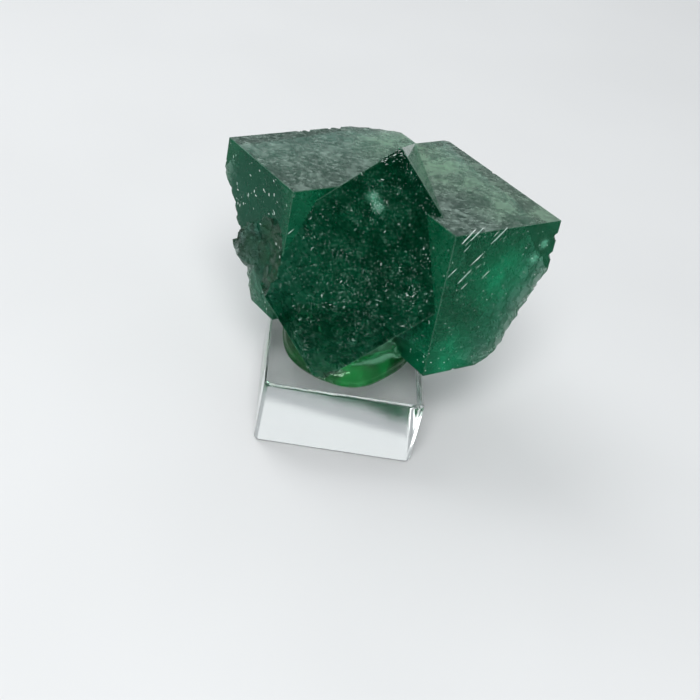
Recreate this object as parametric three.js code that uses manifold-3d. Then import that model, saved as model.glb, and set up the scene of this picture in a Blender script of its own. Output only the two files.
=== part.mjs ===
// A green fluorite specimen: two parallel cube crystals with a third cube grown through them in
// twin position, broken from its rock behind and below, stuck with clear gel on a clear block.
// Millimetres, +Z up, +X right and +Y away from the front. The origin is the centre of the block's
// underside.
import * as THREE from 'three';
import { mergeVertices } from 'three/addons/utils/BufferGeometryUtils.js';
import { ImprovedNoise } from 'three/addons/math/ImprovedNoise.js';
import Module from 'manifold-3d';

const wasm = await Module();
wasm.setup();

// Clear block: a polished square with its edges broken.
const BLOCK_SIDE = 20;
const BLOCK_HEIGHT = 9.3;
const BLOCK_CHAMFER = 0.3;

// Clear gel: a low blob on the block, pressed out by the crystal, which it clears by a thin gap.
// Its rim stands up from a small foot, rounds off, and waves as it goes around.
const GEL_CENTRE = [-0.4, 0.1];
const GEL_RADIUS = 8.4;
const GEL_HEIGHT = 3.6;
const GEL_GAP = 0.3;
const GEL_RIM = { foot: 0.04, roundness: 0.7, arcSteps: 10, sides: 56 };
const GEL_WAVES = [
  { count: 3, start: 0.6, height: 0.035 },
  { count: 5, start: 2, height: 0.021 },
];

// Ways in which the crystal is moved by the gap when it is pressed into the gel.
const PRESSES = [[0, 0, -1], [1, 0, -0.3], [-1, 0, -0.3], [0, 1, -0.3], [0, -1, -0.3]];

// The crystals are drawn in the host's own axes: u runs to the front right, v to the back right and
// w up. Their origin is the front top corner of the left cube, placed and turned on the block here.
const HOST_ORIGIN = [-10.3, 0.7, 30.2];
const HOST_TURN_DEGREES = [-6.6, -0.75, -57.05];

// Each cube is a box between two corners, in its own axes. The tops of the left and right cubes are
// level with each other.
const LEFT_CUBE = { low: [-15.7, 0, -17.8], high: [0, 24.7, 0] };
const RIGHT_CUBE = { low: [-9, 13.4, -19.6], high: [14.9, 30, 0] };
const TWIN_CUBE = { low: [-13.4, -21.3, 2.9], high: [10.4, -2.2, 22.9] };

// Fluorite twins by half a turn about a body diagonal of the cube. The right cube grew over the twin's
// far corner, which stays this far under its front face.
const TWIN_AXIS = [1, -1, -1];
const OVERGROWTH = 0.5;

// Broken surfaces. Each passes through a point, faces outward and has its trace along a direction.
// It is hollowed by its dip, at a share of its length, and roughened by lumps and by cleavage steps.
const BACK_BREAK = {
  at: [-10.3, 0, -11.5],
  outward: [-0.769, 0.1, -0.64],
  along: [0.64, 0, -0.769],
  span: [40, 64],
  hollow: { dip: 1.1, centre: -2.2, reach: 11 },
  lumps: { height: 0.5, size: 5 },
  steps: { height: 0.4, spacing: 2.6, turn: 35 },
  cell: 1.25,
  seed: 3.7,
};
const RIGHT_BREAK = {
  at: [14.9, 26.9, -13.2],
  outward: [-0.1, 0.894, -0.447],
  along: [0, -0.447, -0.894],
  span: [36, 50],
  hollow: { dip: 0.5, centre: -1, reach: 7 },
  lumps: { height: 0.4, size: 2.6 },
  steps: { height: 0.35, spacing: 1.9, turn: 60 },
  cell: 1,
  seed: 9.1,
};
const CORNER_BREAK = {
  at: [-14.2, 21.1, 0],
  outward: [-0.9, 0.43, -0.12],
  along: [0.43, 0.9, 0],
  span: [30, 40],
  hollow: { dip: -0.3, centre: 0, reach: 4 },
  lumps: { height: 0.25, size: 2.2 },
  steps: { height: 0.2, spacing: 1.7, turn: 80 },
  cell: 1.2,
  seed: 5.3,
};
const LOWER_RIGHT_BREAK = {
  at: [14.9, 22.9, -19],
  outward: [-0.2, 0.52, -0.83],
  along: [0, -0.85, -0.53],
  span: [26, 44],
  hollow: { dip: 0, centre: 0, reach: 4 },
  lumps: { height: 0.3, size: 2.4 },
  steps: { height: 0.25, spacing: 1.6, turn: 50 },
  cell: 1.2,
  seed: 1.9,
};

// The underside is broken off nearly level, a little above the block.
const UNDERSIDE_HEIGHT = 10.15;
const UNDERSIDE_BREAK = {
  at: [0, 0, UNDERSIDE_HEIGHT],
  outward: [0.02, 0.03, -1],
  along: [1, 0, 0],
  span: [60, 60],
  hollow: { dip: 0, centre: 0, reach: 6 },
  lumps: { height: 0.22, size: 3.5 },
  steps: { height: 0.12, spacing: 2.2, turn: 20 },
  cell: 1.5,
  seed: 7.7,
};

// Depth of the block of waste that a break takes away, and what all breaks share: finer lumps on the
// lumps, and how far the line of a step wanders.
const BREAK_DEPTH = 40;
const FINE_LUMPS = { share: 0.5, frequency: 2 };
const STEP_WANDER = 1.5;

// The twin's left corner stood out of the left cube. It is knocked off: a stump is left, hollowed by
// a shell-shaped scar whose ripples spread from the blow.
const STUMP = { centre: [-6.3, 0.3, -10.6], radius: [3.1, 2.6, 2.9], lump: 0.3, detail: 5 };
const SCAR = { centre: [-3.3, -11.7, -7.8], radius: 12, detail: 24, ripple: 0.05, spacing: 2.7 };
const SCAR_BLOW = [-8.5, -1.5, -11];

// Chips along the edges, split along the cleavage: place in host axes, then radius.
const EDGE_CHIPS = [
  [-15.9, 10.4, 0.3, 1.1],
  [-16, 11.7, 0.2, 0.9],
  [-15.8, 14.9, 0.3, 0.9],
  [-16, 16.6, 0.2, 1.2],
  [-9.3, 30.3, -0.2, 1.5],
  [-5.5, 30.2, 0.2, 0.8],
  [1.2, 30.2, 0.2, 0.7],
  [15.1, 30.2, -2.2, 0.9],
  [15.2, 30.2, -4.8, 1.1],
  [-15.9, -0.2, -3.2, 0.7],
  [-9.6, -0.2, 0.2, 0.55],
  [15.1, 18.2, -19.8, 0.8],
  [0.15, -0.15, -3.6, 0.35],
];

// Growth steps stand on the twin's upper left edge, close to its top corner.
const EDGE_STEPS = {
  count: 8, start: -13.1, pitch: 0.36, length: 0.24, depth: 0.42, proud: 0.12, frontShare: 0.6, vary: 0.5,
};

// Colours as seen on the specimen.
const FLUORITE = new THREE.MeshStandardMaterial({ color: 0x0f6b47, roughness: 0.25, metalness: 0 });
const GEL = new THREE.MeshStandardMaterial({ color: 0xdfe9e2, roughness: 0.2, metalness: 0 });
const ACRYLIC = new THREE.MeshStandardMaterial({ color: 0xe8ecee, roughness: 0.05, metalness: 0 });

const noise = new ImprovedNoise();
const vector = (list) => new THREE.Vector3(...list);

const hostMatrix = new THREE.Matrix4().compose(
  vector(HOST_ORIGIN),
  new THREE.Quaternion().setFromEuler(
    new THREE.Euler(...HOST_TURN_DEGREES.map(THREE.MathUtils.degToRad)),
  ),
  vector([1, 1, 1]),
);
const twinMatrix = new THREE.Matrix4().makeRotationAxis(vector(TWIN_AXIS).normalize(), Math.PI);

// A closed geometry as a solid that can be joined and cut.
function solidOf(geometry) {
  const bare = geometry.clone();
  bare.deleteAttribute('normal');
  bare.deleteAttribute('uv');
  const merged = mergeVertices(bare);
  return new wasm.Manifold(new wasm.Mesh({
    numProp: 3,
    vertProperties: new Float32Array(merged.attributes.position.array),
    triVerts: new Uint32Array(merged.index.array),
  }));
}

// A solid back as a geometry for a mesh.
function geometryOf(solid) {
  const mesh = solid.getMesh();
  const geometry = new THREE.BufferGeometry();
  geometry.setAttribute('position', new THREE.BufferAttribute(mesh.vertProperties, 3));
  geometry.setIndex(new THREE.BufferAttribute(mesh.triVerts, 1));
  geometry.computeVertexNormals();
  return geometry;
}

// Moves each vertex of a geometry by a rule.
function reshape(geometry, rule) {
  const position = geometry.attributes.position;
  const point = new THREE.Vector3();
  for (let index = 0; index < position.count; index += 1) {
    point.fromBufferAttribute(position, index);
    rule(point);
    position.setXYZ(index, point.x, point.y, point.z);
  }
  return geometry;
}

// A box between two corners.
function boxBetween({ low, high }) {
  const size = vector(high).sub(vector(low));
  const centre = vector(high).add(vector(low)).multiplyScalar(0.5);
  return new THREE.BoxGeometry(size.x, size.y, size.z).translate(centre.x, centre.y, centre.z);
}

// Height of a broken surface at a place on it: a hollow, lumps, and steps that rise slowly and drop.
function breakHeight(x, y, { hollow, lumps, steps, seed }) {
  const bowl = Math.max(0, 1 - ((x - hollow.centre) / hollow.reach) ** 2);
  const fineSize = lumps.size / FINE_LUMPS.frequency;
  const lump = noise.noise(x / lumps.size, y / lumps.size, seed)
    + FINE_LUMPS.share * noise.noise(x / fineSize, y / fineSize, seed + 4);
  const turn = THREE.MathUtils.degToRad(steps.turn);
  const wander = noise.noise(x / (2 * steps.spacing), y / (2 * steps.spacing), seed + 8);
  const run = (x * Math.cos(turn) + y * Math.sin(turn)) / steps.spacing + STEP_WANDER * wander;
  const stair = run - Math.floor(run) - 0.5;
  return lumps.height * lump + steps.height * stair - hollow.dip * bowl;
}

// The block of waste beyond a broken surface.
function breakBlock(spec) {
  const [length, width] = spec.span;
  const columns = Math.round(length / spec.cell);
  const rows = Math.round(width / spec.cell);
  const block = new THREE.BoxGeometry(length, width, BREAK_DEPTH, columns, rows, 1);
  block.translate(0, 0, BREAK_DEPTH / 2);
  reshape(block, (point) => {
    if (point.z < BREAK_DEPTH / 2) {
      point.z = breakHeight(point.x, point.y, spec);
    }
  });
  const outward = vector(spec.outward).normalize();
  const across = new THREE.Vector3().crossVectors(outward, vector(spec.along)).normalize();
  const along = new THREE.Vector3().crossVectors(across, outward);
  const frame = new THREE.Matrix4().makeBasis(along, across, outward).setPosition(...spec.at);
  return block.applyMatrix4(frame);
}

// A lump of stone where the twin's corner broke away.
function stump() {
  const ball = new THREE.IcosahedronGeometry(1, STUMP.detail);
  reshape(ball, (point) => {
    const lump = noise.noise(2 * point.x, 2 * point.y, 2 * point.z);
    point.multiplyScalar(1 + STUMP.lump * lump);
    point.multiply(vector(STUMP.radius)).add(vector(STUMP.centre));
  });
  return ball;
}

// The ball that leaves the shell-shaped scar, with rings around the blow.
function scarBall() {
  const ball = new THREE.IcosahedronGeometry(SCAR.radius, SCAR.detail);
  const blow = vector(SCAR_BLOW).sub(vector(SCAR.centre));
  reshape(ball, (point) => {
    const ring = Math.sin((2 * Math.PI * point.distanceTo(blow)) / SCAR.spacing);
    point.setLength(SCAR.radius + SCAR.ripple * ring).add(vector(SCAR.centre));
  });
  return ball;
}

// Small parallel blocks on the twin's edge, in the twin's own axes.
function edgeSteps() {
  const { count, start, pitch, length, depth, proud, frontShare, vary } = EDGE_STEPS;
  const blocks = [];
  for (let index = 0; index < count; index += 1) {
    const along = start + index * pitch;
    const rise = proud * (1 + vary * noise.noise(along * Math.E, 0.5, 0.5));
    const top = TWIN_CUBE.high[1] + rise;
    const front = TWIN_CUBE.low[2] - frontShare * rise;
    const block = boxBetween({
      low: [along, top - depth, front],
      high: [along + length, top, front + depth],
    });
    blocks.push(block.applyMatrix4(twinMatrix));
  }
  return blocks;
}

// The twin cube in host axes, without the corner that the right cube covers.
function twinSolid() {
  const front = RIGHT_CUBE.high[0] - OVERGROWTH;
  const covered = boxBetween({
    low: [front, RIGHT_CUBE.low[1], -BREAK_DEPTH],
    high: [front + BREAK_DEPTH, RIGHT_CUBE.low[1] + BREAK_DEPTH, BREAK_DEPTH],
  });
  return solidOf(boxBetween(TWIN_CUBE).applyMatrix4(twinMatrix)).subtract(solidOf(covered));
}

// The crystals joined, then broken and chipped, in host axes.
function clusterSolid() {
  const toHost = hostMatrix.clone().invert();
  const cubes = solidOf(boxBetween(LEFT_CUBE)).add(solidOf(boxBetween(RIGHT_CUBE))).add(twinSolid());
  const grown = [stump(), ...edgeSteps()].reduce((whole, piece) => whole.add(solidOf(piece)), cubes);
  const chips = EDGE_CHIPS.map(([u, v, w, radius]) => (
    new THREE.OctahedronGeometry(radius).translate(u, v, w)
  ));
  const waste = [
    breakBlock(BACK_BREAK),
    breakBlock(RIGHT_BREAK),
    breakBlock(CORNER_BREAK),
    breakBlock(LOWER_RIGHT_BREAK),
    breakBlock(UNDERSIDE_BREAK).applyMatrix4(toHost),
    scarBall(),
    ...chips,
  ];
  return waste.reduce((whole, piece) => whole.subtract(solidOf(piece)), grown);
}

function clusterMesh() {
  const mesh = new THREE.Mesh(geometryOf(clusterSolid()), FLUORITE);
  mesh.name = 'fluorite_cluster';
  mesh.applyMatrix4(hostMatrix);
  mesh.updateMatrixWorld();
  return mesh;
}

// A low blob with a soft wavy rim, its top pressed to the crystal's underside.
function gelMesh(cluster) {
  const { foot, roundness, arcSteps, sides } = GEL_RIM;
  const profile = [new THREE.Vector2(0, 0), new THREE.Vector2(1 - foot, 0)];
  for (let index = 0; index < arcSteps; index += 1) {
    const angle = (index / arcSteps) * (Math.PI / 2);
    const height = foot + (1 - foot) * Math.sin(angle);
    profile.push(new THREE.Vector2(Math.cos(angle) ** roundness, height));
  }
  profile.push(new THREE.Vector2(0, 1));
  const blob = new THREE.LatheGeometry(profile, sides).rotateX(Math.PI / 2);
  reshape(blob, (point) => {
    const around = Math.atan2(point.y, point.x);
    const radius = GEL_RADIUS * GEL_WAVES.reduce((reach, wave) => (
      reach + wave.height * Math.sin(wave.count * around + wave.start)
    ), 1);
    point.x = GEL_CENTRE[0] + radius * point.x;
    point.y = GEL_CENTRE[1] + radius * point.y;
    point.z = BLOCK_HEIGHT + GEL_HEIGHT * point.z;
  });
  const pressed = cluster.geometry.clone().applyMatrix4(cluster.matrixWorld);
  const solid = PRESSES.reduce((whole, press) => (
    whole.subtract(solidOf(pressed.clone().translate(...press.map((share) => share * GEL_GAP))))
  ), solidOf(blob));
  const mesh = new THREE.Mesh(geometryOf(solid), GEL);
  mesh.name = 'mounting_gel';
  return mesh;
}

// The block: a square with cut corners, chamfered above and below.
function blockMesh() {
  const half = BLOCK_SIDE / 2 - BLOCK_CHAMFER;
  const cut = half - BLOCK_CHAMFER;
  const outline = new THREE.Shape([
    new THREE.Vector2(cut, -half),
    new THREE.Vector2(half, -cut),
    new THREE.Vector2(half, cut),
    new THREE.Vector2(cut, half),
    new THREE.Vector2(-cut, half),
    new THREE.Vector2(-half, cut),
    new THREE.Vector2(-half, -cut),
    new THREE.Vector2(-cut, -half),
  ]);
  const geometry = new THREE.ExtrudeGeometry(outline, {
    depth: BLOCK_HEIGHT - 2 * BLOCK_CHAMFER,
    bevelEnabled: true,
    bevelThickness: BLOCK_CHAMFER,
    bevelSize: BLOCK_CHAMFER,
    bevelSegments: 1,
  });
  const mesh = new THREE.Mesh(geometry.translate(0, 0, BLOCK_CHAMFER), ACRYLIC);
  mesh.name = 'acrylic_base';
  return mesh;
}

const specimen = new THREE.Group();
const cluster = clusterMesh();
specimen.add(cluster, gelMesh(cluster), blockMesh());

export default specimen;
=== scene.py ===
"""Looks of a green fluorite twin on a clear block: crystal, inclusions, gel, block, floor and light.

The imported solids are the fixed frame. Size fields are in millimetres and Blender's meshes in metres.
"""

from __future__ import annotations

import logging
import math
from collections.abc import Iterable, Mapping
from dataclasses import dataclass, field
from enum import Enum
from typing import Any

import bmesh
import bpy
import numpy as np
from mathutils import Euler, Matrix, Vector, noise
from mathutils.bvhtree import BVHTree


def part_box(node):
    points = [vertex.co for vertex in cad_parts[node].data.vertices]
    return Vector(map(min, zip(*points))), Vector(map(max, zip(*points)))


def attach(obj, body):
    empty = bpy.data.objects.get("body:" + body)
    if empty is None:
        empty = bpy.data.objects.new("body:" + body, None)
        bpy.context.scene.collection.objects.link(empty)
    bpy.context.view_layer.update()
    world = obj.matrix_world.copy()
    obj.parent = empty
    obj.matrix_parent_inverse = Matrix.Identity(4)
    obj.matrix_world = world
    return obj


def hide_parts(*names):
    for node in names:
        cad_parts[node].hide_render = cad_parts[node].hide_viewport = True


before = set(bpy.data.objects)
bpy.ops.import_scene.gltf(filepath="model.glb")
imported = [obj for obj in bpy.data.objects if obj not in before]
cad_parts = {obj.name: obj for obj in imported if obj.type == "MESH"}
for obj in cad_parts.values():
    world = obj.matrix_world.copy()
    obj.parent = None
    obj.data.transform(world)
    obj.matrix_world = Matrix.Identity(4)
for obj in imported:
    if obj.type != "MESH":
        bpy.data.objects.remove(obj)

MM = 0.001
BODY = "root"
LOG = logging.getLogger("fluorite")

Triple = tuple[float, float, float]
Span = tuple[float, float]


class Zone(Enum):
    """What a face of the crystal is, as the value of its face attribute."""

    BREAK = 0
    TOP = 1
    SIDE = 2
    TWIN_FRONT = 3
    TWIN_SIDE = 4
    EDGE = 5

    def attribute(self) -> str:
        """Name of the attribute that is 1 on this zone's faces."""
        return f"zone_{self.name.lower()}"


class Signal:
    """A socket whose arithmetic adds Math nodes to its tree."""

    def __init__(self, bench: Bench, socket: bpy.types.NodeSocket) -> None:
        """Keeps the socket and the bench that holds its tree."""
        self.bench = bench
        self.socket = socket

    def maths(self, operation: str, *values: Any, clamp: bool = False) -> Signal:
        """Adds one Math node.

        Args:
            operation: the Math node's operation.
            values: its inputs in order, as numbers or signals.
            clamp: whether the result is kept between 0 and 1.

        Returns:
            The node's result.
        """
        settings = {"operation": operation, "use_clamp": clamp}
        return self.bench.make("ShaderNodeMath", settings, dict(enumerate(values)))

    def __add__(self, other: Any) -> Signal:
        """Sum."""
        return self.maths("ADD", self, other)

    def __radd__(self, other: Any) -> Signal:
        """Sum with a number on the left."""
        return self.maths("ADD", other, self)

    def __sub__(self, other: Any) -> Signal:
        """Difference."""
        return self.maths("SUBTRACT", self, other)

    def __rsub__(self, other: Any) -> Signal:
        """Difference from a number on the left."""
        return self.maths("SUBTRACT", other, self)

    def __mul__(self, other: Any) -> Signal:
        """Product."""
        return self.maths("MULTIPLY", self, other)

    def __rmul__(self, other: Any) -> Signal:
        """Product with a number on the left."""
        return self.maths("MULTIPLY", other, self)

    def __pow__(self, other: Any) -> Signal:
        """Power."""
        return self.maths("POWER", self, other)

    def clamped(self) -> Signal:
        """The value kept between 0 and 1."""
        return self.maths("ADD", self, 0.0, clamp=True)

    def ramp(self, low: float, high: float) -> Signal:
        """A smooth rise.

        Args:
            low: the value that gives 0.
            high: the value that gives 1.

        Returns:
            The risen value.
        """
        return self.bench.make(
            "ShaderNodeMapRange",
            {"interpolation_type": "SMOOTHSTEP"},
            {"Value": self, "From Min": low, "From Max": high},
        )


class Bench:
    """Adds nodes to one node tree, of a shader or of geometry."""

    def __init__(self, tree: bpy.types.NodeTree) -> None:
        """Keeps the tree."""
        self.tree = tree

    def node(
        self,
        kind: str,
        settings: Mapping[str, Any] | None = None,
        sockets: Mapping[Any, Any] | None = None,
    ) -> bpy.types.Node:
        """Adds any node.

        Args:
            kind: the node's type name.
            settings: properties, set before the sockets. A ramp's stops are a list under "stops".
            sockets: values, sockets or signals by input name or index.

        Returns:
            The node.
        """
        made = self.tree.nodes.new(kind)
        for name, value in (settings or {}).items():
            if name == "stops":
                self._stops(made, value)
            else:
                setattr(made, name, value)
        for key, value in (sockets or {}).items():
            source = value.socket if isinstance(value, Signal) else value
            if isinstance(source, bpy.types.NodeSocket):
                self.tree.links.new(source, made.inputs[key])
            else:
                made.inputs[key].default_value = source
        return made

    def make(
        self,
        kind: str,
        settings: Mapping[str, Any] | None = None,
        sockets: Mapping[Any, Any] | None = None,
        output: Any = 0,
    ) -> Signal:
        """Adds any node and gives one of its outputs.

        Args:
            kind: the node's type name.
            settings: properties, set before the sockets.
            sockets: values, sockets or signals by input name or index.
            output: the output's name or index.

        Returns:
            The output as a signal.
        """
        return Signal(self, self.node(kind, settings, sockets).outputs[output])

    @staticmethod
    def _stops(ramp: bpy.types.Node, stops: Iterable[tuple[float, Triple]]) -> None:
        """Sets a colour ramp's stops.

        Args:
            ramp: the Color Ramp node.
            stops: each stop's position and colour, in order.
        """
        elements = ramp.color_ramp.elements
        for index, (position, colour) in enumerate(stops):
            element = elements[index] if index < 2 else elements.new(position)
            element.position = position
            element.color = (*colour, 1.0)

    def blend(self, factor: Any, first: Any, second: Any) -> Signal:
        """Mixes two colours.

        Args:
            factor: the share of the second.
            first: a colour or a signal.
            second: a colour or a signal.

        Returns:
            The mixed colour.
        """
        full = [(*c, 1.0) if isinstance(c, tuple) else c for c in (first, second)]
        sockets = {"Factor": factor, 6: full[0], 7: full[1]}
        return self.make("ShaderNodeMix", {"data_type": "RGBA"}, sockets, 2)

    def grain(
        self, place: Signal, per_mm: float, detail: float = 3.0, rough: float = 0.55, warp: float = 0.0
    ) -> Signal:
        """A noise value.

        Args:
            place: coordinates in millimetres.
            per_mm: how many grains fit in a millimetre.
            detail: octaves.
            rough: strength of the finer octaves.
            warp: distortion.

        Returns:
            Values around 0.5.
        """
        sockets = {"Vector": place, "Scale": per_mm, "Detail": detail}
        sockets |= {"Roughness": rough, "Distortion": warp}
        return self.make("ShaderNodeTexNoise", None, sockets, "Fac")


def new_material(name: str) -> tuple[bpy.types.Material, Bench, bpy.types.Node]:
    """Makes an empty node material.

    Args:
        name: the material's name.

    Returns:
        The material, a bench on its tree, and its output node.
    """
    material = bpy.data.materials.new(name)
    material.use_nodes = True
    material.node_tree.nodes.clear()
    bench = Bench(material.node_tree)
    return material, bench, bench.node("ShaderNodeOutputMaterial")


def millimetres(bench: Bench, turn: Euler | None = None, stretch: Triple = (1, 1, 1)) -> Signal:
    """Object coordinates in millimetres, turned and stretched for a pattern.

    Args:
        bench: the tree's bench.
        turn: rotation of the pattern.
        stretch: extra scale along each turned axis.

    Returns:
        The coordinates.
    """
    place = bench.make("ShaderNodeTexCoord", None, None, "Object")
    scale = [share / MM for share in stretch]
    sockets = {"Vector": place, "Rotation": turn or Euler((0, 0, 0)), "Scale": scale}
    return bench.make("ShaderNodeMapping", {"vector_type": "POINT"}, sockets)


def join_clear(
    bench: Bench, output: bpy.types.Node, surface: Signal, colour: Triple, density: float
) -> None:
    """Joins a clear material's surface and its absorbing inside to its output.

    Args:
        bench: the tree's bench.
        output: the material's output node.
        surface: the surface shader.
        colour: the absorption's colour.
        density: the absorption's density for each metre.
    """
    sockets = {"Color": (*colour, 1), "Density": density}
    inside = bench.make("ShaderNodeVolumeAbsorption", None, sockets)
    bench.tree.links.new(surface.socket, output.inputs["Surface"])
    bench.tree.links.new(inside.socket, output.inputs["Volume"])


@dataclass(frozen=True)
class HostFrame:
    """Axes of the host crystal and of its twin: u to the front right, v to the back right, w up."""

    origin: Triple = (-10.3, 0.7, 30.2)
    turn_degrees: Triple = (-6.6, -0.75, -57.05)
    twin_axis: Triple = (1, -1, -1)

    def rotation(self) -> Matrix:
        """Rotation from host axes to the part's frame, turned about X last as the solids are.

        Returns:
            The rotation.
        """
        x, y, z = (math.radians(angle) for angle in self.turn_degrees)
        return (
            Matrix.Rotation(x, 3, "X") @ Matrix.Rotation(y, 3, "Y") @ Matrix.Rotation(z, 3, "Z")
        )

    def twin_rotation(self) -> Matrix:
        """Rotation from twin axes to the part's frame."""
        return self.rotation() @ Matrix.Rotation(math.pi, 3, Vector(self.twin_axis))


HOST = HostFrame()


@dataclass(frozen=True)
class FluoriteFinish:
    """Clear green crystal: glass with absorption, rippled and frosted where the faces are etched. Its matte
    lobe also carries painted light: the tops' sheen, a glow and a pale light through thin parts, and painted
    shade on the left face and on the breaks turned away.
    """

    ior: float = 1.434
    sheen_tint: Triple = (0.04, 0.45, 0.28)
    absorption_colour: Triple = (0.25, 0.66, 0.55)
    absorption_density: float = 540.0
    # Etched tops: frost colours that also paint the sheen, pale where the bright back would be reflected and
    # dark in the gaps.
    pale_frost_sheen: Triple = (0.4, 0.53, 0.465)
    dark_frost_sheen: Triple = (0.006, 0.05, 0.03)
    haze_deep: Triple = (0.002, 0.175, 0.072)
    haze_pale: Triple = (0.05, 0.42, 0.23)
    # Painted shade: dark green frost over the left face.
    left_shade_colour: Triple = (0.003, 0.07, 0.036)
    # Pale milky green for the tops' thin back: partly a milky frost, partly painted light shining through.
    milky_backlight: Triple = (0.27, 0.48, 0.31)
    dust: Triple = (0.46, 0.74, 0.62)
    # Darker olive green on the scar's break.
    scar_dark: Triple = (0.03, 0.085, 0.045)
    scar_at: tuple[Triple, ...] = ((-13.0, 3.5, 19.5),)
    left_shade_at: tuple[Triple, ...] = ((-15.0, 6.0, 25.0),)
    milky_backlight_at: tuple[Triple, ...] = ((3.5, 19.0, 28.3), (9.0, 13.5, 28.8), (18.0, 6.5, 29.9))
    mint: Triple = (0.28, 0.8, 0.56)
    # Painted glow: bright green where light comes through thin parts of the crystal.
    glow: Triple = (0.003, 0.42, 0.18)
    mint_at: tuple[Triple, ...] = ((-0.8, 2.0, 30.6), (0.0, 1.4, 29.7), (20.5, 2.4, 25.5), (21.4, 3.2, 27.3))
    glow_at: tuple[Triple, ...] = ((16.1, -0.8, 24.2), (11.9, -4.8, 13.0))
    ripple_stretch: Triple = (0.8, 1.1, 1.0)
    scar_reach: Span = (5.5, 9.0)
    left_shade_reach: Span = (5.0, 10.0)
    milky_backlight_reach: Span = (2.0, 9.0)
    mint_reach: Span = (0.1, 1.2)
    glow_reach: Span = (0.5, 6.0)
    mottle_per_mm: float = 0.3
    fine_per_mm: float = 3.2
    ripple_per_mm: float = 2.0
    dust_per_mm: float = 6.5
    bump_strength: float = 0.5
    bump_depth: float = 0.12
    frost_roughness: float = 0.4
    frost_gloss: float = 0.1

    @staticmethod
    def near(bench: Bench, place: Signal, centres: Iterable[Triple], reach: Span) -> Signal:
        """How near the surface is to some centres.

        Args:
            bench: the tree's bench.
            place: coordinates in millimetres.
            centres: the centres in millimetres.
            reach: distances where the value starts to fall and where it is 0.

        Returns:
            The sum over the centres, each 1 close by and 0 out of reach.
        """
        total: Any = 0
        for centre in centres:
            sockets = {0: place, 1: centre}
            away = bench.make("ShaderNodeVectorMath", {"operation": "DISTANCE"}, sockets, "Value")
            total = total + (1 - away.ramp(*reach))
        return total

    def material(self) -> bpy.types.Material:
        """Builds the node material from the crystal's zone attributes.

        Returns:
            The material.
        """
        material, bench, output = new_material("green_fluorite")
        place = millimetres(bench)
        top, broken, twin, side, worn = (
            bench.make("ShaderNodeAttribute", {"attribute_name": zone.attribute()}, None, "Fac")
            for zone in (Zone.TOP, Zone.BREAK, Zone.TWIN_FRONT, Zone.SIDE, Zone.EDGE)
        )
        plain = 1 - top - broken - twin
        away = bench.make("ShaderNodeAttribute", {"attribute_name": "turned_away"}, None, "Fac")
        scar = broken * self.near(bench, place, self.scar_at, self.scar_reach)
        # Painted shade: the left face is darkened by a dark frost near its centre.
        left = side * self.near(bench, place, self.left_shade_at, self.left_shade_reach)
        mottle = bench.grain(place, self.mottle_per_mm, 7, 0.62, 0.8)
        fine = bench.grain(place, self.fine_per_mm, 4, 0.6)
        stretched = millimetres(bench, None, self.ripple_stretch)
        ripple = bench.grain(stretched, self.ripple_per_mm, 6, 0.72, 0.6)
        cloud = mottle.ramp(0.4, 0.62)
        speckle = fine.ramp(0.5, 0.72)
        crest = (0.66 * ripple + 0.34 * mottle).ramp(0.42, 0.68)
        motes = bench.grain(place, self.dust_per_mm, 2, 0.5).ramp(0.6, 0.72)
        dust = motes * (0.3 + 0.7 * cloud) * (twin + 0.15 * plain)
        roughness = 0.04 + top * (0.12 + 0.16 * cloud) + broken * (0.2 + 0.4 * away) + 0.1 * twin * fine
        # Painted light: pale milky green near the tops' thin back, where light comes through from behind.
        milky_backlight_share = self.near(bench, place, self.milky_backlight_at, self.milky_backlight_reach)
        milky_backlight_share = (milky_backlight_share * (0.3 + 0.6 * mottle.ramp(0.3, 0.7))).clamped()
        mint = (twin + side) * fine * self.near(bench, place, self.mint_at, self.mint_reach)
        # Painted glow: bright green painted on side faces where light comes through the crystal.
        glow = side * self.near(bench, place, self.glow_at, self.glow_reach) * (1.8 * mottle - 0.15)
        # Frost share: real haze and veils, plus painted glow and painted shade.
        haze = (
            twin * (0.08 + 0.08 * cloud)
            + plain * (0.34 + 0.08 * cloud + 0.15 * glow)
            # Painted shade: extra dark frost on the breaks turned away from the front dims the light that
            # comes through the crystal.
            + broken * (0.1 + 0.12 * cloud + 0.35 * away)
            + scar * (0.08 + 0.3 * cloud)
            + 0.5 * left
        )
        frost = (
            top * (0.46 + 0.2 * crest)
            + haze
            + 0.32 * dust
            + 0.7 * mint
            + 0.06 * worn
        )
        relief = top * (0.35 * mottle + 0.4 * ripple) + (twin * 0.1 + broken * 0.4 + side * 0.03) * fine
        sockets = {"Strength": self.bump_strength, "Distance": self.bump_depth * MM, "Height": relief}
        bump = bench.make("ShaderNodeBump", None, sockets)
        body = bench.blend(cloud * speckle, self.haze_deep, self.haze_pale)
        body = bench.blend(glow.clamped(), body, self.glow)
        body = bench.blend(left, bench.blend(scar, body, self.scar_dark), self.left_shade_colour)
        # Painted reflection: the tops' grey sheen and its dark gaps are painted into the frost colour along
        # the ripple crests.
        etched = bench.blend(crest, self.dark_frost_sheen, self.pale_frost_sheen)
        etched = bench.blend(milky_backlight_share * (0.4 + 0.6 * crest), etched, self.milky_backlight)
        colour = bench.blend(dust, bench.blend(top, body, etched), self.dust)
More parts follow.
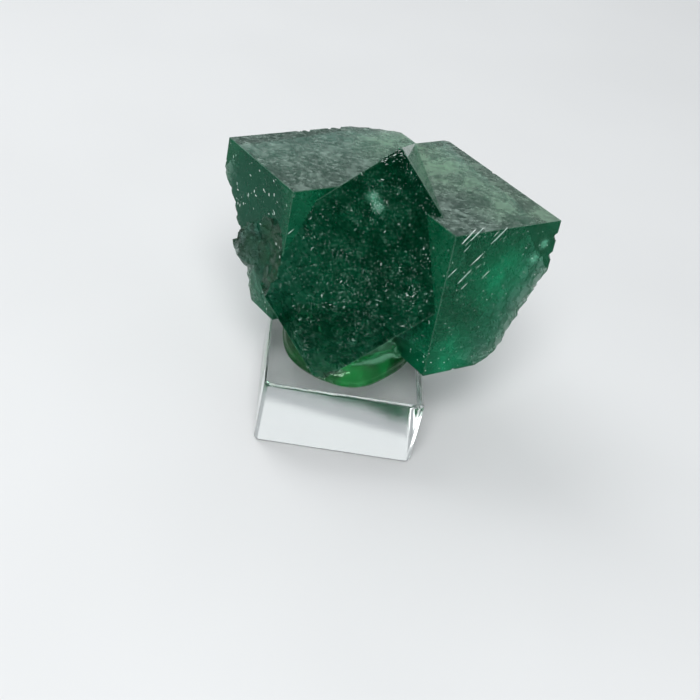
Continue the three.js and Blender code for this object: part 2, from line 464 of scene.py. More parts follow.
        # Rounded edges take the pale colour: partly wear, partly painted highlight lines.
        colour = bench.blend(mint.clamped(), bench.blend(0.35 * worn, colour, self.pale_frost_sheen), self.mint)
        glass = bench.make(
            "ShaderNodeBsdfPrincipled",
            None,
            {
                "Base Color": (1, 1, 1, 1),
                "Roughness": roughness,
                "IOR": self.ior,
                "Specular Tint": (*self.sheen_tint, 1),
                "Transmission Weight": 1.0,
                "Normal": bump,
            },
        )
        frosted = bench.make(
            "ShaderNodeBsdfPrincipled",
            None,
            {
                "Base Color": colour,
                "Roughness": self.frost_roughness,
                "IOR": self.ior,
                "Specular IOR Level": self.frost_gloss,
                "Specular Tint": (*self.sheen_tint, 1),
                "Normal": bump,
            },
        )
        surface = bench.make("ShaderNodeMixShader", None, {0: frost.clamped(), 1: glass, 2: frosted})
        join_clear(bench, output, surface, self.absorption_colour, self.absorption_density)
        return material


@dataclass(frozen=True)
class InclusionFinish:
    """Pale flakes: bright cleavage glints and tiny veils."""

    pale: Triple = (0.88, 0.96, 0.92)
    dull: Triple = (0.35, 0.52, 0.45)

    def material(self) -> bpy.types.Material:
        """Builds the node material.

        Returns:
            The material.
        """
        material, bench, output = new_material("pale_inclusions")
        patch = bench.grain(millimetres(bench), 0.9, 3, 0.6).ramp(0.35, 0.65)
        flake = bench.make(
            "ShaderNodeBsdfPrincipled",
            None,
            {
                "Base Color": bench.blend(patch, self.dull, self.pale),
                "Roughness": 0.3 + 0.2 * patch,
                "IOR": 1.434,
            },
        )
        bench.tree.links.new(flake.socket, output.inputs["Surface"])
        return material


@dataclass(frozen=True)
class ClearFinish:
    """Clear plastic or gel with faint haze, scratches and dust."""

    name: str
    ior: float
    roughness: float
    haze: float
    tint: Triple
    absorption_colour: Triple
    absorption_density: float
    scratch_stretch: Triple = (0.3, 6.0, 0.3)

    def material(self) -> bpy.types.Material:
        """Builds the node material.

        Returns:
            The material.
        """
        material, bench, output = new_material(self.name)
        place = millimetres(bench)
        lines = bench.grain(millimetres(bench, Euler((0.3, 0.5, 0.9)), self.scratch_stretch), 0.8, 4, 0.7)
        smudge = bench.grain(place, 0.35, 4, 0.6).ramp(0.45, 0.75)
        scratch = lines.ramp(0.62, 0.72)
        roughness = self.roughness + 0.06 * smudge + 0.1 * scratch
        bump = bench.make(
            "ShaderNodeBump", None, {"Strength": 0.25, "Distance": 0.02 * MM, "Height": lines}
        )
        clear = bench.make(
            "ShaderNodeBsdfPrincipled",
            None,
            {
                "Base Color": (*self.tint, 1),
                "Roughness": roughness,
                "IOR": self.ior,
                "Transmission Weight": 1.0,
                "Normal": bump,
            },
        )
        dull = bench.make(
            "ShaderNodeBsdfPrincipled",
            None,
            {"Base Color": (0.85, 0.87, 0.87, 1), "Roughness": 0.5},
        )
        share = self.haze * (0.3 * smudge + scratch)
        surface = bench.make("ShaderNodeMixShader", None, {0: share.clamped(), 1: clear, 2: dull})
        join_clear(bench, output, surface, self.absorption_colour, self.absorption_density)
        return material


def fractal(point: Vector, size: float, seed: float, octaves: int = 4) -> float:
    """Noise of several octaves at a point.

    Args:
        point: place in millimetres.
        size: size of the largest lumps in millimetres.
        seed: shifts the pattern.
        octaves: how many halvings of the size.

    Returns:
        A value around 0, mostly within 1.
    """
    return noise.fractal(point / size + Vector((seed, 2 * seed, -seed)), 0.75, 2.0, octaves)


def add_object(name: str, mesh: bpy.types.Mesh) -> bpy.types.Object:
    """Puts a mesh in the scene at the origin.

    Args:
        name: the object's name.
        mesh: its mesh.

    Returns:
        The object.
    """
    made = bpy.data.objects.new(name, mesh)
    bpy.context.scene.collection.objects.link(made)
    return made


def dress(piece: bpy.types.Object, slot: str, *nodes: str) -> None:
    """Fixes a piece to the part's body and hides the solids it stands for.

    Args:
        piece: the object.
        slot: the material slot's name; not used.
        nodes: solids that the piece replaces.
    """
    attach(piece, BODY)
    if nodes:
        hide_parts(*nodes)
    LOG.info("%s: %d faces", piece.name, len(piece.data.polygons))


def merged_copy(node: str) -> bmesh.types.BMesh:
    """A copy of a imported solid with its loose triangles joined.

    Args:
        node: the solid's name.

    Returns:
        The joined mesh.
    """
    shape = bmesh.new()
    shape.from_mesh(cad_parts[node].data)
    bmesh.ops.remove_doubles(shape, verts=shape.verts, dist=0.002 * MM)
    bmesh.ops.dissolve_degenerate(shape, edges=shape.edges, dist=0.002 * MM)
    shape.normal_update()
    return shape


def ordered_copy(shape: bmesh.types.BMesh) -> bmesh.types.BMesh:
    """Rebuilds a shape in one fixed order. Splitting a rounded shape as it stands differs between runs.

    Args:
        shape: the marked shape, freed here.

    Returns:
        The same shape with its vertices and faces in order of place.
    """
    grid = 1e-5 * MM
    layer = shape.faces.layers.int["zone"]
    shape.verts.index_update()
    places = [tuple(round(value / grid) for value in vert.co) for vert in shape.verts]
    order = sorted(range(len(places)), key=places.__getitem__)
    ranks = {index: rank for rank, index in enumerate(order)}
    faces: list[tuple[list[int], int]] = []
    for face in shape.faces:
        ring = [ranks[vert.index] for vert in face.verts]
        start = ring.index(min(ring))
        faces.append((ring[start:] + ring[:start], face[layer]))
    shape.free()
    fresh = bmesh.new()
    fresh_layer = fresh.faces.layers.int.new("zone")
    verts = [fresh.verts.new([value * grid for value in places[index]]) for index in order]
    for ring, zone in sorted(faces):
        fresh.faces.new([verts[rank] for rank in ring])[fresh_layer] = zone
    fresh.normal_update()
    return fresh


def finish_mesh(shape: bmesh.types.BMesh, name: str, sharp_degrees: float) -> bpy.types.Object:
    """Turns a worked shape into an object with smooth faces and sharp ridges.

    Args:
        shape: the worked shape, freed here.
        name: the piece's name.
        sharp_degrees: ridges above this angle stay sharp.

    Returns:
        The new object.
    """
    mesh = bpy.data.meshes.new(name)
    shape.to_mesh(mesh)
    shape.free()
    mesh.shade_smooth()
    mesh.set_sharp_from_angle(angle=math.radians(sharp_degrees))
    return add_object(name, mesh)


@dataclass
class Crystal:
    """The grown-together cubes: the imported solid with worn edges, etched tops and hackly breaks."""

    node: str = "fluorite_cluster"
    least_face: float = 1.5
    same_facing: float = 0.9996
    wear: float = 0.07
    flat_edge: float = 0.7
    break_edge: float = 0.38
    top_relief: float = 0.035
    top_lump: float = 1.3
    break_relief: float = 0.06
    break_lump: float = 0.9
    facet_size: float = 1.5
    facet_tilt: float = 0.24
    front: Triple = (-0.1, -0.79, 0.6)
    rounds: int = 9
    sharp_degrees: float = 24.0
    piece: bpy.types.Object | None = field(default=None, init=False)

    def facings(self) -> list[tuple[Vector, Zone]]:
        """Lists the cubes' faces.

        Returns:
            Outward normals, each with what its face is.
        """
        host, twin = HOST.rotation(), HOST.twin_rotation()
        u, v, w = host.col
        p, q, r = twin.col
        sides = [(axis * sign, Zone.SIDE) for axis in (u, v) for sign in (1, -1)]
        twins = [(axis * sign, Zone.TWIN_SIDE) for axis in (p, q) for sign in (1, -1)]
        return [*sides, *twins, (w, Zone.TOP), (-w, Zone.SIDE), (-r, Zone.TWIN_FRONT), (r, Zone.TWIN_SIDE)]

    def mark_zones(self, shape: bmesh.types.BMesh) -> None:
        """Marks each face of the merged solid with its zone.

        Args:
            shape: the merged solid.
        """
        layer = shape.faces.layers.int.new("zone")
        shape.faces.ensure_lookup_table()
        normals = np.array([face.normal for face in shape.faces])
        centres = np.array([face.calc_center_median() for face in shape.faces]) / MM
        areas = np.array([face.calc_area() for face in shape.faces]) / MM**2
        zones = np.full(len(areas), Zone.BREAK.value)
        for facing, zone in self.facings():
            aligned = normals @ np.array(facing) > self.same_facing
            levels = np.round(centres @ np.array(facing), 1)
            for level in np.unique(levels[aligned]):
                group = aligned & (np.abs(levels - level) < 0.15)
                if areas[group].sum() > self.least_face:
                    zones[group] = zone.value
        for face, zone_value in zip(shape.faces, zones):
            face[layer] = int(zone_value)

    def wear_edges(self, shape: bmesh.types.BMesh) -> None:
        """Rounds the ridges between cube faces.

        Args:
            shape: the marked solid.
        """
        layer = shape.faces.layers.int["zone"]
        flat = [
            edge
            for edge in shape.edges
            if len(edge.link_faces) == 2
            and edge.is_convex
            and all(face[layer] != Zone.BREAK.value for face in edge.link_faces)
            and edge.calc_face_angle(0) > math.radians(20)
        ]
        result = bmesh.ops.bevel(
            shape,
            geom=flat,
            offset=self.wear * MM,
            offset_type="OFFSET",
            segments=2,
            profile=0.5,
            affect="EDGES",
            clamp_overlap=False,
        )
        for face in result["faces"]:
            face[layer] = Zone.EDGE.value

    def refine(self, shape: bmesh.types.BMesh) -> None:
        """Splits long edges until the faces are fine enough to carry relief.

        Args:
            shape: the marked solid.
        """
        layer = shape.faces.layers.int["zone"]
        for _ in range(self.rounds):
            bmesh.ops.triangulate(shape, faces=[face for face in shape.faces if len(face.verts) > 3])
            long_edges = [edge for edge in shape.edges if edge.calc_length() > self.limit(edge, layer) * MM]
            if not long_edges:
                break
            bmesh.ops.subdivide_edges(shape, edges=long_edges, cuts=1)
        bmesh.ops.triangulate(shape, faces=[face for face in shape.faces if len(face.verts) > 3])

    def limit(self, edge: bmesh.types.BMEdge, layer: Any) -> float:
        """Longest edge allowed, by what lies beside it."""
        rough = any(face[layer] == Zone.BREAK.value for face in edge.link_faces)
        return self.break_edge if rough else self.flat_edge

    def roughen(self, shape: bmesh.types.BMesh) -> None:
        """Moves vertices: etched hills on the tops, hackly lumps on the breaks.

        Args:
            shape: the refined solid.
        """
        layer = shape.faces.layers.int["zone"]
        shape.normal_update()
        top = HOST.rotation().col[2]
        moves: list[tuple[bmesh.types.BMVert, Vector]] = []
        for vert in shape.verts:
            zones = {face[layer] for face in vert.link_faces}
            point = vert.co / MM
            move = Vector((0, 0, 0))
            if Zone.TOP.value in zones:
                move += top * self.top_relief * fractal(point, self.top_lump, 3.1)
            if Zone.BREAK.value in zones:
                height = self.break_relief * fractal(point, self.break_lump, 7.3, 5)
                move += self.along_flats(vert, layer) * (height + self.facet(point))
            if move.length_squared > 0:
                moves.append((vert, move * MM))
        low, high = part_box(self.node)
        for vert, move in moves:
            moved = vert.co + move
            vert.co = Vector(min(max(moved[i], low[i]), high[i]) for i in range(3))

    def facet(self, point: Vector) -> float:
        """Height of the small tilted cleavage facet at a point of a break.

        Args:
            point: place in millimetres.

        Returns:
            The height in millimetres.
        """
        centre = noise.voronoi(point / self.facet_size)[1][0]
        offset = point / self.facet_size - centre
        return self.facet_tilt * self.facet_size * offset.dot(noise.cell_vector(centre * 7.7))

    @staticmethod
    def along_flats(vert: bmesh.types.BMVert, layer: Any) -> Vector:
        """The way a break's vertex moves: outward, but along any flat face that it borders.

        Args:
            vert: the vertex.
            layer: the faces' zone layer.

        Returns:
            The direction, shorter than 1 beside a flat face.
        """
        way = Vector((0, 0, 0))
        for face in vert.link_faces:
            if face[layer] == Zone.BREAK.value:
                way += face.normal
        way.normalize()
        for face in vert.link_faces:
            if face[layer] != Zone.BREAK.value:
                way -= face.normal * way.dot(face.normal)
        return way

    def build(self) -> bpy.types.Object:
        """Makes the crystal's mesh.

        Returns:
            The crystal's object, with one face attribute for each zone.
        """
        shape = merged_copy(self.node)
        self.mark_zones(shape)
        bmesh.ops.dissolve_limit(
            shape,
            angle_limit=math.radians(0.2),
            verts=shape.verts,
            edges=[edge for edge in shape.edges if self.inside_flat(edge, shape)],
        )
        self.wear_edges(shape)
        shape = ordered_copy(shape)
        self.refine(shape)
        self.roughen(shape)
        self.piece = finish_mesh(shape, "fluorite_crystal", self.sharp_degrees)
        self.share_zones(self.piece.data)
        return self.piece

    @staticmethod
    def inside_flat(edge: bmesh.types.BMEdge, shape: bmesh.types.BMesh) -> bool:
        """Whether an edge lies inside one flat face.

        Args:
            edge: the edge.
            shape: the marked solid that holds it.

        Returns:
            True between two faces of one flat zone.
        """
        layer = shape.faces.layers.int["zone"]
        zones = {face[layer] for face in edge.link_faces}
        return len(zones) == 1 and Zone.BREAK.value not in zones

    def share_zones(self, mesh: bpy.types.Mesh) -> None:
        """Writes one face attribute of 0 and 1 for each zone, and how far each face turns to the back.

        Args:
            mesh: the crystal's mesh.
        """
        values = np.empty(len(mesh.polygons), dtype=np.int32)
        mesh.attributes["zone"].data.foreach_get("value", values)
        for zone in Zone:
            attribute = mesh.attributes.new(zone.attribute(), "FLOAT", "FACE")
            attribute.data.foreach_set("value", (values == zone.value).astype(np.float32))
        normals = np.empty(len(mesh.polygons) * 3, dtype=np.float32)
        mesh.polygons.foreach_get("normal", normals)
        facing = normals.reshape(-1, 3) @ np.array(self.front)
        attribute = mesh.attributes.new("turned_away", "FLOAT", "FACE")
        attribute.data.foreach_set("value", np.clip(0.3 - 3 * facing, 0, 1).astype(np.float32))

    def dress(self) -> None:
        """Gives the crystal its finish and its place in the part."""
        self.piece.data.materials.append(FluoriteFinish().material())
        dress(self.piece, "fluorite", self.node)


@dataclass(frozen=True)
class FlakeField:
    """Small flakes on or under one cube face, given in host axes."""

    name: str
    facing: Triple
    level: float
    along: Triple
    per_mm2: float
    length: Span
    shape: Triple = (1.0, 0.6, 0.25)
    depth: Span = (0.0, 0.0)
    spin: float = math.pi
    clump: float = 0.4
    spots: tuple[tuple[Triple, float], ...] = ()
    seed: int = 1

    def normal(self) -> Vector:
        """The face's outward normal in the part's frame."""
        return (HOST.rotation() @ Vector(self.facing)).normalized()

    def turn(self) -> Euler:
        """Turns a flake's length along the streaks and its thin side outward.

        Returns:
            The turn.
        """
        out = self.normal()
        way = HOST.rotation() @ Vector(self.along)
        way = (way - out * way.dot(out)).normalized()
        return Matrix((way, out.cross(way), out)).transposed().to_euler()

    def surface(self, crystal: bpy.types.Mesh) -> bpy.types.Mesh:
        """Copies the face that carries the flakes, with their share as an attribute.

        Args:
            crystal: the crystal's mesh.

        Returns:
            A loose mesh of that face.
        """
        points = np.empty(len(crystal.vertices) * 3, dtype=np.float32)
        crystal.vertices.foreach_get("co", points)
        points = points.reshape(-1, 3)
        corners = np.empty(len(crystal.polygons) * 3, dtype=np.int32)
        crystal.polygons.foreach_get("vertices", corners)
        corners = corners.reshape(-1, 3)
        normals = np.empty(len(crystal.polygons) * 3, dtype=np.float32)
        crystal.polygons.foreach_get("normal", normals)
        out = np.array(self.normal())
        middle = points[corners].mean(axis=1) / MM
        level = (middle - np.array(HOST.origin)) @ out
        chosen = (normals.reshape(-1, 3) @ out > 0.97) & (np.abs(level - self.level) < 0.3)
        kept = corners[chosen]
        mesh = bpy.data.meshes.new(f"{self.name}_surface")
        mesh.from_pydata(points[kept.ravel()].tolist(), [], np.arange(kept.size).reshape(-1, 3).tolist())
        share = mesh.attributes.new("share", "FLOAT", "FACE")
        share.data.foreach_set("value", self.share(middle[chosen]).astype(np.float32))
        return mesh

    def share(self, middle: np.ndarray) -> np.ndarray:
        """How much of the full density each place gets: all of it, or only near the spots.

        Args:
            middle: face centres in millimetres.

        Returns:
            A share from 0 to 1 for each place.
        """
        if not self.spots:
            return np.ones(len(middle))
        away = [np.linalg.norm(middle - np.array(at), axis=1) / radius for at, radius in self.spots]
        return np.max([np.exp(-(far**2)) for far in away], axis=0)


class FlakeTree:
    """Geometry Nodes that scatter flakes over a mesh by its share attribute."""

    SOCKETS: tuple[tuple[str, str], ...] = (
        ("Surface", "NodeSocketGeometry"),
        ("Density", "NodeSocketFloat"),
        ("Clump", "NodeSocketFloat"),
        ("Shortest", "NodeSocketFloat"),
        ("Longest", "NodeSocketFloat"),
        ("Shape", "NodeSocketVector"),
        ("Shallow", "NodeSocketFloat"),
        ("Deep", "NodeSocketFloat"),
        ("Inward", "NodeSocketVector"),
        ("Turn", "NodeSocketVector"),
        ("Spin", "NodeSocketFloat"),
        ("Seed", "NodeSocketInt"),
        ("Finish", "NodeSocketMaterial"),
    )

    def __init__(self) -> None:
        """Builds the tree once for all fields."""
        self.tree = bpy.data.node_groups.new("scatter_flakes", "GeometryNodeTree")
        self.sockets = {
            name: self.tree.interface.new_socket(name, in_out="INPUT", socket_type=kind).identifier
            for name, kind in self.SOCKETS
        }
        self.tree.interface.new_socket("Flakes", in_out="OUTPUT", socket_type="NodeSocketGeometry")
        self._wire(Bench(self.tree))

    @staticmethod
    def _random(bench: Bench, low: Any, high: Any, seed: Any) -> Signal:
        """One random number for each flake."""
        return bench.make("FunctionNodeRandomValue", {"data_type": "FLOAT"}, {2: low, 3: high, 8: seed}, 1)

    def _wire(self, bench: Bench) -> None:
        """Adds and joins the nodes.

        Args:
            bench: a bench on the tree.
        """
        given = bench.node("NodeGroupInput").outputs
        seed = Signal(bench, given["Seed"])
        share = bench.make("GeometryNodeInputNamedAttribute", {"data_type": "FLOAT"}, {"Name": "share"})
        place = bench.make("GeometryNodeInputPosition")
        sockets = {"Vector": place, "Scale": given["Clump"], "Detail": 2.0}
        patch = bench.make("ShaderNodeTexNoise", None, sockets)
        density = Signal(bench, given["Density"]) * share * patch.ramp(0.36, 0.62)
        points = bench.make(
            "GeometryNodeDistributePointsOnFaces",
            {"distribute_method": "RANDOM"},
            {"Mesh": given["Surface"], "Density": density, "Seed": seed},
        )
        depth = self._random(bench, given["Shallow"], given["Deep"], seed + 1)
        scale = {"operation": "SCALE"}
        offset = bench.make("ShaderNodeVectorMath", scale, {0: given["Inward"], "Scale": depth})
        sunk = bench.make("GeometryNodeSetPosition", None, {"Geometry": points, "Offset": offset})
        flake = bench.make("GeometryNodeMeshIcoSphere", None, {"Radius": 1.0, "Subdivisions": 1})
        spread = self._random(bench, Signal(bench, given["Spin"]) * -1, given["Spin"], seed + 2)
        spin = bench.make("ShaderNodeCombineXYZ", None, {"Z": spread})
        turned = bench.make(
            "FunctionNodeRotateRotation",
            {"rotation_space": "LOCAL"},
            {
                "Rotation": bench.make("FunctionNodeEulerToRotation", None, {0: given["Turn"]}),
                "Rotate By": bench.make("FunctionNodeEulerToRotation", None, {0: spin}),
            },
        )
        draw = self._random(bench, 0.0, 1.0, seed + 3)
        span = Signal(bench, given["Longest"]) - given["Shortest"]
        length = Signal(bench, given["Shortest"]) + span * draw * draw
        size = bench.make("ShaderNodeVectorMath", scale, {0: given["Shape"], "Scale": length})
        flakes = bench.make(
            "GeometryNodeInstanceOnPoints",
            None,
            {"Points": sunk, "Instance": flake, "Rotation": turned, "Scale": size},
        )
        real = bench.make("GeometryNodeRealizeInstances", None, {0: flakes})
        done = bench.make("GeometryNodeSetMaterial", None, {"Geometry": real, "Material": given["Finish"]})
        bench.node("NodeGroupOutput", None, {0: done})

    def scatter(
        self, flakes: FlakeField, crystal: bpy.types.Mesh, finish: bpy.types.Material
    ) -> bpy.types.Object:
        """Makes one field of flakes as a plain mesh.

        Args:
            flakes: the field's values.
            crystal: the mesh that carries it.
            finish: the flakes' material.

        Returns:
            The flakes' object.
        """
        carrier = add_object(f"{flakes.name}_carrier", flakes.surface(crystal))
        modifier = carrier.modifiers.new("flakes", "NODES")
        modifier.node_group = self.tree
        values = {
            "Density": flakes.per_mm2 / MM**2,
            "Clump": flakes.clump / MM,
            "Shortest": flakes.length[0] * MM,
            "Longest": flakes.length[1] * MM,
            "Shape": flakes.shape,
            "Shallow": flakes.depth[0] * MM,
            "Deep": flakes.depth[1] * MM,
            "Inward": tuple(-flakes.normal()),
            "Turn": tuple(flakes.turn()),
            "Spin": flakes.spin,
            "Seed": flakes.seed,
            "Finish": finish,
        }
        for name, value in values.items():
            modifier[self.sockets[name]] = value
        graph = bpy.context.evaluated_depsgraph_get()
        mesh = bpy.data.meshes.new_from_object(carrier.evaluated_get(graph), depsgraph=graph)
        mesh.name = flakes.name
        bpy.data.objects.remove(carrier)
        return add_object(flakes.name, mesh)


@dataclass
class Inclusions:
    """Dust, needles, streaks and veils on and in the crystal."""

    crystal: bpy.types.Mesh
    twin_front: Triple = (2 / 3, -2 / 3, 1 / 3)
    cleavage: Triple = (0, 1, 1)
    pieces: list[bpy.types.Object] = field(default_factory=list, init=False)

    def fields(self) -> list[FlakeField]:
        """Lists every field of flakes.

        Returns:
            The fields, in the order in which they are scattered.
        """
        front = {"facing": self.twin_front, "level": -2.9, "along": (0, 1, 1)}
        right = {"facing": (1, 0, 0), "level": 14.9, "along": self.cleavage}
        sliver = {"facing": (1, 0, 0), "level": 0.0, "along": self.cleavage}
        left = {"facing": (0, -1, 0), "level": 0.0, "along": (1, 0, -1)}
        notch = {"facing": (0, -1, 0), "level": -13.4, "along": (1, 0, 0)}
        return [
            FlakeField("front_dust", **front, per_mm2=7.0, length=(0.02, 0.065), clump=0.25, seed=11),
            FlakeField(
                "front_needles", **front, per_mm2=0.9, length=(0.04, 0.25), shape=(1, 0.2, 0.12),
                spin=1.2, seed=12,
            ),
            FlakeField(
                "front_veil", **front, per_mm2=6.0, length=(0.02, 0.08), shape=(1, 0.5, 0.2),
                spots=(((-3.1, -2.9, 19.7), 2.2), ((-4.7, -0.5, 23.7), 2.0), ((-0.1, -3.7, 19.4), 2.6)),
                seed=13,
            ),
            FlakeField(
                "mint_spots", **front, per_mm2=90.0, length=(0.03, 0.08), clump=1.5,
                spots=(((-0.8, 2.0, 30.6), 0.55), ((0.0, 1.4, 29.7), 0.75)), seed=14,
            ),
            FlakeField(
                "right_streaks", **right, per_mm2=1.6, length=(0.15, 1.5), shape=(1, 0.07, 0.05),
                spin=0.06, clump=0.8,
                spots=(
                    ((11.3, -3.3, 28.8), 1.9), ((11.6, -3.5, 25.3), 1.6), ((19.0, 1.8, 28.9), 1.5),
                    ((15.0, -1.0, 29.2), 1.6), ((22.0, 3.5, 27.0), 1.2),
                ),
                seed=16,
            ),
            FlakeField("right_dust", **right, per_mm2=1.2, length=(0.03, 0.13), seed=17),
            FlakeField(
                "sliver_scratches", **sliver, per_mm2=0.5, length=(0.08, 0.6), shape=(1, 0.1, 0.08),
                spin=0.2, seed=18,
            ),
            FlakeField(
                "left_flecks", **left, per_mm2=1.6, length=(0.04, 0.26), shape=(1, 0.35, 0.2),
                spin=0.7, seed=19,
            ),
            FlakeField(
                "step_glints", facing=self.twin_front, level=-2.9, along=(1, 0.4, 1), per_mm2=26.0,
                length=(0.05, 0.28), shape=(1, 0.22, 0.3), spin=0.35, clump=0.9,
                spots=(((0.0, 3.8, 34.6), 0.5), ((0.7, 4.1, 35.3), 0.5), ((1.3, 4.3, 35.9), 0.5)),
                seed=21,
            ),
            FlakeField(
                "junction_flecks", **front, per_mm2=4.0, length=(0.04, 0.2), shape=(1, 0.45, 0.25),
                spots=(((6.3, -1.9, 26.0), 0.8), ((6.2, -2.9, 24.0), 0.8), ((6.2, -4.0, 21.6), 0.8)),
                seed=22,
            ),
            FlakeField("notch_flecks", **notch, per_mm2=1.0, length=(0.03, 0.16), seed=20),
        ]

    def build(self) -> list[bpy.types.Object]:
        """Scatters every field.

        Returns:
            The flakes' objects.
        """
        finish = InclusionFinish().material()
        tree = FlakeTree()
        self.pieces = [tree.scatter(flakes, self.crystal, finish) for flakes in self.fields()]
        return self.pieces

    def dress(self) -> None:
        """Gives every field its place in the part."""
        for piece in self.pieces:
            dress(piece, "fluorite")


@dataclass
class Block:
    """The clear block: sawn and polished, with rounded arrises."""

    node: str = "acrylic_base"
    round_over: float = 0.09
    piece: bpy.types.Object | None = field(default=None, init=False)

    def build(self) -> bpy.types.Object:
        """Rounds the block's arrises.

        Returns:
            The block.
        """
        shape = merged_copy(self.node)
        bmesh.ops.dissolve_limit(shape, angle_limit=math.radians(0.5), verts=shape.verts, edges=shape.edges)
        ridges = [edge for edge in shape.edges if edge.calc_face_angle(0) > math.radians(15)]
        bmesh.ops.bevel(
            shape,
            geom=ridges,
            offset=self.round_over * MM,
            offset_type="OFFSET",
            segments=3,
            profile=0.5,
            affect="EDGES",
            clamp_overlap=True,
        )
        self.piece = finish_mesh(shape, "clear_block", 28)
        return self.piece

    def dress(self) -> None:
        """Gives the block its finish and its place in the part."""
        finish = ClearFinish(
            name="clear_acrylic",
            ior=1.49,
            roughness=0.01,
            haze=0.05,
            tint=(1, 1, 1),
            absorption_colour=(0.6, 0.85, 0.8),
            absorption_density=6.0,
        )
        self.piece.data.materials.append(finish.material())
        dress(self.piece, "acrylic", self.node)


@dataclass
class Gel:
    """The clear gel pressed between block and crystal."""

    node: str = "mounting_gel"
    lump: float = 3.0
    soften: float = 0.4
    soften_rounds: int = 3
    sag: float = 0.06
    sink: float = 0.04
    reach: float = 0.75
    overlap: float = 0.06
    piece: bpy.types.Object | None = field(default=None, init=False)

    def build(self, crystal: bpy.types.Mesh) -> bpy.types.Object:
        """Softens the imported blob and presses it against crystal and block.

        Args:
            crystal: the crystal's mesh.

        Returns:
            The gel.
        """
        shape = merged_copy(self.node)
        low = min(vert.co.z for vert in shape.verts) + 0.05 * MM
        free = [vert for vert in shape.verts if vert.co.z > low]
        every_axis = {f"use_axis_{axis}": True for axis in "xyz"}
        for _ in range(self.soften_rounds):
            bmesh.ops.smooth_vert(shape, verts=free, factor=self.soften, **every_axis)
        shape.normal_update()
        corners = [polygon.vertices[:] for polygon in crystal.polygons]
        wall = BVHTree.FromPolygons([vert.co for vert in crystal.vertices], corners)
        for vert in shape.verts:
            if vert.co.z <= low:
                vert.co.z -= self.sink * MM
                continue
            touch, out, _, gap = wall.find_nearest(vert.co)
            if gap < self.reach * MM and vert.normal.dot(out) < -0.2:
                vert.co = touch - out * self.overlap * MM
            else:
                vert.co += vert.normal * self.sag * MM * fractal(vert.co / MM, self.lump, 5.2, 2)
        self.piece = finish_mesh(shape, "clear_gel", 50)
        return self.piece

    def dress(self) -> None:
        """Gives the gel its finish and its place in the part."""
        finish = ClearFinish(
            name="clear_gel",
            ior=1.42,
            roughness=0.05,
            haze=0.08,
            tint=(1, 1, 1),
            absorption_colour=(0.35, 0.85, 0.6),
            absorption_density=520.0,
        )
        self.piece.data.materials.append(finish.material())
        dress(self.piece, "gel", self.node)


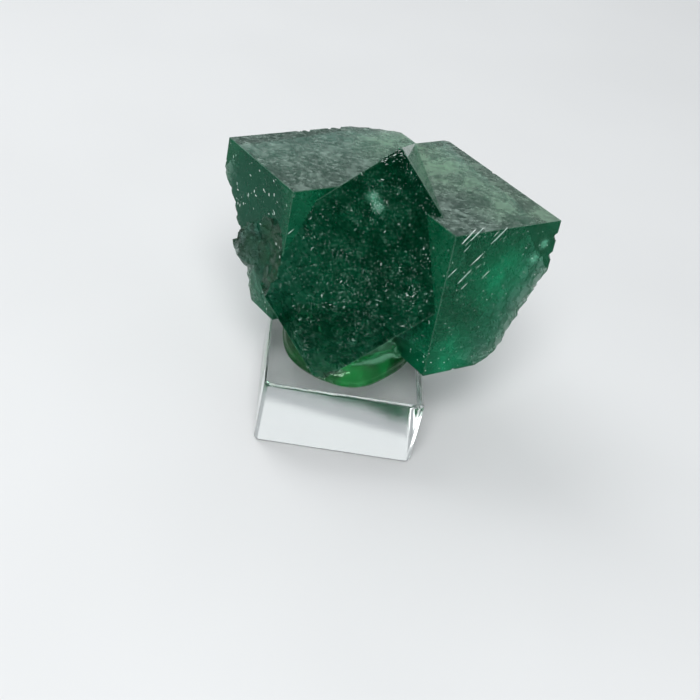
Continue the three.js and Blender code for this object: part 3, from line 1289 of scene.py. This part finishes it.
@dataclass
class Studio:
    """Pale floor, soft lights and the camera."""

    floor_side: float = 4000.0
    floor_drop: float = 0.05
    floor_colour: Triple = (0.8, 0.81, 0.815)
    camera_at: Triple = (-18.0, -142.1, 117.6)
    camera_turn: Triple = (52.01, -10.68, 0.79)
    lens: float = 72.25
    sensor: float = 36.0
    bright_way: Triple = (-0.2, 0.75, 0.63)
    room_low: float = 0.16
    room_high: float = 0.5
    aim: Triple = (0, 0, 20)
    window_at: Triple = (-260, 240, 420)
    window_side: float = 320.0
    window_watts: float = 0.9
    panel_at: Triple = (40, 520, 230)
    panel_aim: Triple = (0, 0, 30)
    panel_side: float = 420.0
    panel_watts: float = 0.2
    fill_at: Triple = (-60, -330, 470)
    fill_side: float = 260.0
    fill_watts: float = 2.1
    bounces: int = 24
    gloss_bounces: int = 16

    def floor(self) -> None:
        """Makes the floor."""
        half = self.floor_side * MM / 2
        level = -self.floor_drop * MM
        mesh = bpy.data.meshes.new("floor")
        corners = [(-half, -half, level), (half, -half, level), (half, half, level), (-half, half, level)]
        mesh.from_pydata(corners, [], [(0, 1, 2, 3)])
        material, bench, output = new_material("pale_floor")
        soft = bench.grain(millimetres(bench), 0.02, 2)
        dimmer = tuple(0.97 * share for share in self.floor_colour)
        colour = bench.blend(soft.ramp(0.3, 0.7), self.floor_colour, dimmer)
        paint = bench.make("ShaderNodeBsdfPrincipled", None, {"Base Color": colour, "Roughness": 0.6})
        bench.tree.links.new(paint.socket, output.inputs["Surface"])
        mesh.materials.append(material)
        add_object("floor", mesh)

    def light(
        self, name: str, at: Triple, aim: Triple, side: float, watts: float
    ) -> None:
        """Makes one soft square light.

        Args:
            name: the light's name.
            at: its place in millimetres.
            aim: the point that it faces, in millimetres.
            side: its side in millimetres.
            watts: its power.
        """
        lamp = bpy.data.lights.new(name, "AREA")
        lamp.size = side * MM
        lamp.energy = watts
        holder = bpy.data.objects.new(name, lamp)
        holder.location = Vector(at) * MM
        holder.rotation_euler = (Vector(aim) - Vector(at)).to_track_quat("-Z", "Y").to_euler()
        holder.visible_camera = False
        bpy.context.scene.collection.objects.link(holder)

    def lights(self) -> None:
        """Makes the soft light: a room that is bright behind and above, a window and a weak fill."""
        world = bpy.data.worlds.new("soft_room")
        world.use_nodes = True
        world.node_tree.nodes.clear()
        bench = Bench(world.node_tree)
        way = bench.make("ShaderNodeTexCoord", None, None, "Generated")
        sockets = {0: way, 1: self.bright_way}
        lean = bench.make("ShaderNodeVectorMath", {"operation": "DOT_PRODUCT"}, sockets, "Value")
        strength = self.room_low + (self.room_high - self.room_low) * lean.ramp(-0.25, 0.85)
        sky = bench.make("ShaderNodeBackground", None, {"Color": (0.93, 0.97, 1.0, 1), "Strength": strength})
        bench.node("ShaderNodeOutputWorld", None, {"Surface": sky})
        bpy.context.scene.world = world
        self.light("window", self.window_at, self.aim, self.window_side, self.window_watts)
        self.light("back_panel", self.panel_at, self.panel_aim, self.panel_side, self.panel_watts)
        self.light("fill", self.fill_at, self.aim, self.fill_side, self.fill_watts)

    def camera(self) -> None:
        """Makes the camera at the photograph's viewing angle."""
        eye = bpy.data.cameras.new("camera")
        eye.lens = self.lens
        eye.sensor_width = self.sensor
        eye.clip_start = 1 * MM
        holder = bpy.data.objects.new("camera", eye)
        holder.location = Vector(self.camera_at) * MM
        holder.rotation_euler = Euler([math.radians(angle) for angle in self.camera_turn])
        bpy.context.scene.collection.objects.link(holder)
        bpy.context.scene.camera = holder

    def paths(self) -> None:
        """Lets light bounce often enough inside the clear pieces."""
        scene = bpy.context.scene
        scene.cycles.max_bounces = self.bounces
        scene.cycles.transmission_bounces = self.bounces
        scene.cycles.glossy_bounces = self.gloss_bounces
        scene.view_settings.view_transform = "Standard"

    def build(self) -> None:
        """Makes the whole studio."""
        self.floor()
        self.lights()
        self.camera()
        self.paths()


def main() -> None:
    """Builds every piece in order."""
    logging.basicConfig(level=logging.INFO, format="%(name)s: %(message)s")
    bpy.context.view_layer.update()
    Studio().build()
    crystal = Crystal()
    crystal.build()
    crystal.dress()
    inclusions = Inclusions(crystal.piece.data)
    inclusions.build()
    inclusions.dress()
    gel = Gel()
    gel.build(crystal.piece.data)
    gel.dress()
    block = Block()
    block.build()
    block.dress()


if __name__ == "__main__":
    main()
